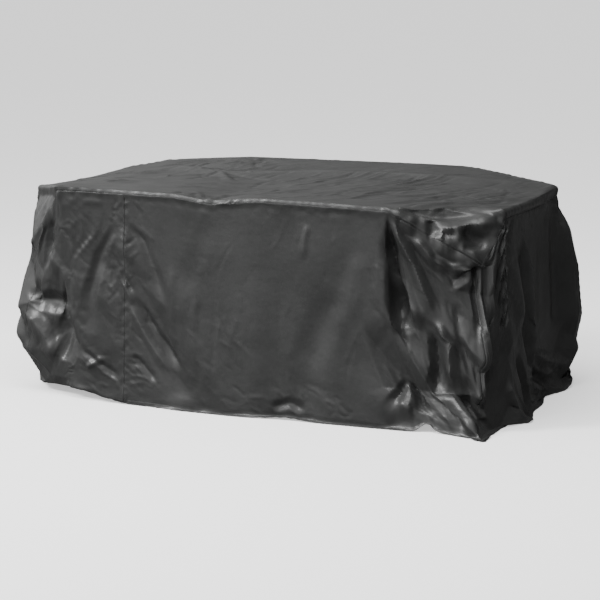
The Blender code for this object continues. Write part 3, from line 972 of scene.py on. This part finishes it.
def clothMaterial():
    material = bpy.data.materials.new("coatedCloth")
    nodes, links = nodesOf(material)
    shader = nodes["Principled BSDF"]
    setInputs(shader, {"Specular IOR Level": clothLook["specular"]})

    def attribute(name, output="Fac"):
        read = nodes.new("ShaderNodeAttribute")
        read.attribute_name = name
        return read.outputs[output]

    def noiseOf(name):
        texture = nodes.new("ShaderNodeTexNoise")
        setInputs(texture, dict(zip(("Scale", "Detail"), clothLook[name])))
        links.new(place, texture.inputs["Vector"])
        return texture.outputs["Fac"]

    def maths(operation, first, second=0):
        node = nodes.new("ShaderNodeMath")
        node.operation = operation
        for socket, value in zip(node.inputs, (first, second)):
            if isinstance(value, (int, float)):
                socket.default_value = value
            else:
                links.new(value, socket)
        return node.outputs[0]

    def ranged(value, ends):
        node = nodes.new("ShaderNodeMapRange")
        setInputs(node, dict(zip(rangeEnds, ends)))
        links.new(value, node.inputs["Value"])
        return node.outputs["Result"]

    def thread(axis):
        return maths("SINE", maths("MULTIPLY", split.outputs[axis], clothLook["threads"]))

    place = attribute("cutPlace", "Vector")
    split = nodes.new("ShaderNodeSeparateXYZ")
    links.new(place, split.inputs[0])
    worn = attribute("worn")
    onStitches = maths("LESS_THAN", maths("ABSOLUTE", attribute("stitchAway")), clothLook["stitchHalf"])
    dash = maths("LESS_THAN", maths("MODULO", attribute("stitchRun"), clothLook["stitchStep"]),
                 clothLook["stitchLength"])
    stitch = maths("MULTIPLY", onStitches, dash)
    tone = maths("ADD", ranged(noiseOf("clouds"), clothLook["cloudTone"]),
                 ranged(noiseOf("marks"), clothLook["markTone"]))
    tone = maths("ADD", tone, maths("MULTIPLY", worn, clothLook["wornTone"]))
    tone = maths("ADD", tone, maths("MULTIPLY", stitch, clothLook["stitchTone"]))
    colour = nodes.new("ShaderNodeValToRGB")
    colour.color_ramp.elements[0].color = clothLook["dark"]
    colour.color_ramp.elements[1].color = clothLook["pale"]
    links.new(tone, colour.inputs["Fac"])
    links.new(colour.outputs["Color"], shader.inputs["Base Color"])
    rough = maths("ADD", ranged(noiseOf("sheen"), clothLook["roughness"]),
                  maths("MULTIPLY", worn, clothLook["wornRough"]))
    links.new(rough, shader.inputs["Roughness"])
    weave = maths("MULTIPLY", thread("X"), thread("Y"))
    relief = maths("ADD", maths("MULTIPLY", noiseOf("fine"), clothLook["fineDepth"]),
                   maths("MULTIPLY", weave, clothLook["weaveDepth"]))
    relief = maths("ADD", relief, maths("MULTIPLY", stitch, clothLook["stitchDepth"]))
    bump = nodes.new("ShaderNodeBump")
    setInputs(bump, {"Distance": 1.0})
    links.new(relief, bump.inputs["Height"])
    links.new(bump.outputs["Normal"], shader.inputs["Normal"])
    return material


def makePanel(name, node, grid, flip, values):
    rows, columns = grid.shape[:2]
    index = np.arange(rows * columns).reshape(rows, columns)
    quads = np.stack([index[:-1, :-1], index[1:, :-1], index[1:, 1:], index[:-1, 1:]], axis=-1)
    if flip:
        quads = quads[..., ::-1]
    panel = meshObject(name, grid.reshape(-1, 3), quads.reshape(-1, 4))
    for key, value in values.items():
        kind, field = ("FLOAT_VECTOR", "vector") if value.ndim == 3 else ("FLOAT", "value")
        panel.data.attributes.new(key, kind, "POINT").data.foreach_set(field, value.ravel())
    panel.data.shade_smooth()
    panel.data.set_sharp_from_angle(angle=clothLook["sharpAbove"])
    panel.data.materials.append(material)
    sheet = panel.modifiers.new("Sheet", "SOLIDIFY")
    sheet.thickness = cutCover["sheet"]
    sheet.offset = -1
    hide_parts(node)
    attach(panel, "root")
    report(name, 4 * (rows - 1) * (columns - 1), "triangles")


# The nearer of two lines of stitches, with how far away it is and how far along it
def nearerStitch(first, second):
    closer = np.abs(first[0]) < np.abs(second[0])
    return [np.where(closer, one, other) for one, other in zip(first, second)]


chance = np.random.default_rng(creasing["seed"])
sideRows = sideCreases + scattered(sideCrumples, chance)
topRows = topCreases + scattered(topCrumples, chance)
material = clothMaterial()

# The top, with a seam all round it
across = pieceLines(0, widthSteps, gridLines["top"])
lengthways = pieceLines(0, lengthSteps, gridLines["top"])
flatX = cutLeft + lengthways / lengthSteps * cutLength
flatY = cutNear + across / widthSteps * cutWidth
flat = np.stack([*np.meshgrid(flatX, flatY), np.zeros((len(across), len(lengthways)))], axis=-1)
x, y = flat[..., 0], flat[..., 1]
fromEdges = np.stack([x - cutLeft, cutRight - x, y - cutNear, cutFar - y])
away, nearest = fromEdges.min(0), fromEdges.argmin(0)
rimAlong = np.select([nearest == 2, nearest == 1, nearest == 3],
                     [x - cutLeft, nearRight + y - cutNear, farRight + cutRight - x], farLeft + cutFar - y)
grid, height, worn = creasedGrid(readBoth(topGrid, across, lengthways), x, y, flat.reshape(-1, 3), away,
                                 topBroken, topFacets, readTop)
grid += blendedNormals(-gridNormals(grid), rimAlong, away) * height.reshape(away.shape)[..., None]
values = {"cutPlace": flat, "worn": worn, "stitchAway": away - sewing["stitchAway"], "stitchRun": rimAlong}
makePanel("topPanelCloth", "top_panel", grid, True, values)

# The sides, worked out all round before they are parted at their seams
join, farRightLine, farLeftLine = cutCover["joinStep"], cornerLines[2], cornerLines[3]
seen, hidden = gridLines["seenSides"], gridLines["hiddenSides"]
sidePanels = {
    "front_panel_short": (0, join, seen, "coverFrontShort"),
    "front_panel_main": (join, lengthSteps, seen, "coverFrontMain"),
    "end_panel_right": (lengthSteps, farRightLine, seen, "coverEndRight"),
    "back_panel": (farRightLine, farLeftLine, hidden, "coverBack"),
    "end_panel_left": (farLeftLine, roundSteps, hidden, "coverEndLeft"),
}
down = pieceLines(0, dropSteps, gridLines["drop"], gridLines["besideHem"])
columns = np.unique(np.round(np.concatenate(
    [pieceLines(low, high, step) for low, high, step, name in sidePanels.values()]), 6))
around = columns[columns < roundSteps]
along, drop = np.meshgrid(seamDistance(around), down / dropSteps * cutDrop)
cutPlaces = cutSide(along, drop).reshape(-1, 3)
grid, height, worn = creasedGrid(readBoth(sideGrid, down, around, True), along, drop, cutPlaces, drop,
                                 sideBroken, sideFacets, readSide)
seams = seamDistance(np.array([0, join, *cornerLines[1:]]))
fromSeams = np.abs(along.ravel()[:, None] - seams)
away, atJoin = fromSeams.min(1), fromSeams.argmin(1) == 1
height += sewnHeights(away, cutPlaces, np.where(atJoin, sewing["joinPucker"], sewing["pucker"]))
hemAway = cutDrop - drop
hemWaves = waves(cutPlaces * (1, 1, 0.3), sewing["hemWaveLength"]).reshape(drop.shape)
height = height.reshape(drop.shape) + sewing["hemWave"] * hemWaves * hump(hemAway / sewing["hemWaveReach"])
height += sewing["hemThickness"] * (hemAway < sewing["hem"])
grid += blendedNormals(gridNormals(grid, closed=True), along, drop) * height[..., None]
low, easing = sewing["aboveFloor"] - grid[..., 2], sewing["floorEase"]
grid[..., 2] += np.where(low > 0, low + 0.25 * np.maximum(easing - low, 0) ** 2 / easing, 0)
stitch = nearerStitch((drop - sewing["stitchAway"], along), (hemAway - sewing["hem"], along))
stitch = nearerStitch(stitch, (away.reshape(drop.shape) - sewing["stitchAway"], drop))
values = {"cutPlace": np.stack([along, drop, 0 * drop], axis=-1), "worn": worn,
          "stitchAway": stitch[0], "stitchRun": stitch[1]}
for node, (low, high, step, name) in sidePanels.items():
    first, last = np.searchsorted(columns, (low - 1e-4, high - 1e-4))
    picked = np.arange(first, last + 1) % len(around)
    panelValues = {key: value[:, picked] for key, value in values.items()}
    makePanel(name, node, grid[:, picked], False, panelValues)

# Plain studio
studio = {
    "lens": 145.5,
    "camera": (3.7306, -9.3897, 2.0381),
    "yaw": -0.378,
    "pitch": 0.164,
    "background": 3.0,
    "brighterSide": (-0.75, -0.60, 0.25),
    "shading": (-0.35, 0.8, 0.08, 1.7),  # from and to in the direction, then in the strength
    "floorHalf": 60,
    "floor": {"Base Color": (0.86, 0.86, 0.86, 1), "Roughness": 0.8,
              "Emission Color": (1, 1, 1, 1), "Emission Strength": 0.6},
    "floorUnderCover": {"Color": (0.12, 0.12, 0.12, 1)},
    "lampTarget": (0, 0, 0.4),
}
lamps = {
    "frontLeft": ((-4.6, -4.4, 4.8), (1.9, 1.9), 700),
    "overhead": ((0.3, -2.0, 5.6), (4.5, 2.6), 340),
}


def softLight(name, place, size, power):
    lamp = bpy.data.lights.new(name, "AREA")
    lamp.shape = "RECTANGLE"
    lamp.size, lamp.size_y = size
    lamp.energy = power
    light = addObject(name, lamp)
    light.location = place
    toTarget = Vector(studio["lampTarget"]) - Vector(place)
    light.rotation_euler = toTarget.to_track_quat("-Z", "Y").to_euler()


# Pale background. What lights the cloth is dimmer, and dimmest on the right.
def setWorld():
    world = bpy.data.worlds.new("softWhite")
    bpy.context.scene.world = world
    nodes, links = nodesOf(world)
    around = nodes.new("ShaderNodeTexCoord")
    toward = nodes.new("ShaderNodeVectorMath")
    toward.operation = "DOT_PRODUCT"
    toward.inputs[1].default_value = studio["brighterSide"]
    strength = nodes.new("ShaderNodeMapRange")
    setInputs(strength, dict(zip(rangeEnds, studio["shading"])))
    seen = nodes.new("ShaderNodeLightPath")
    shown = nodes.new("ShaderNodeMix")
    setInputs(shown, {"B": studio["background"]})
    links.new(around.outputs["Generated"], toward.inputs[0])
    links.new(toward.outputs["Value"], strength.inputs["Value"])
    links.new(strength.outputs["Result"], shown.inputs["A"])
    links.new(seen.outputs["Is Camera Ray"], shown.inputs["Factor"])
    links.new(shown.outputs["Result"], nodes["Background"].inputs["Strength"])
    setInputs(nodes["Background"], {"Color": (1, 1, 1, 1)})


# The camera sees a pale floor. The cloth is lit as if by a grey one.
def setFloor():
    floor = levelSquare("studioFloor", studio["floorHalf"], 0)
    pale = bpy.data.materials.new("paleFloor")
    nodes, links = nodesOf(pale)
    shader = nodes["Principled BSDF"]
    setInputs(shader, studio["floor"])
    grey = nodes.new("ShaderNodeBsdfDiffuse")
    setInputs(grey, studio["floorUnderCover"])
    seen, shown = nodes.new("ShaderNodeLightPath"), nodes.new("ShaderNodeMixShader")
    links.new(seen.outputs["Is Camera Ray"], shown.inputs[0])
    links.new(grey.outputs[0], shown.inputs[1])
    links.new(shader.outputs[0], shown.inputs[2])
    links.new(shown.outputs[0], nodes["Material Output"].inputs["Surface"])
    floor.data.materials.append(pale)


def setCamera():
    camera = addObject("camera", bpy.data.cameras.new("camera"))
    camera.data.sensor_width = 36
    camera.data.lens = studio["lens"]
    camera.location = studio["camera"]
    camera.rotation_euler = (math.pi / 2 - studio["pitch"], 0, -studio["yaw"])
    bpy.context.scene.camera = camera


setFloor()
setWorld()
for name, settings in lamps.items():
    softLight(name, *settings)
setCamera()
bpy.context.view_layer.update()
report("studio set")
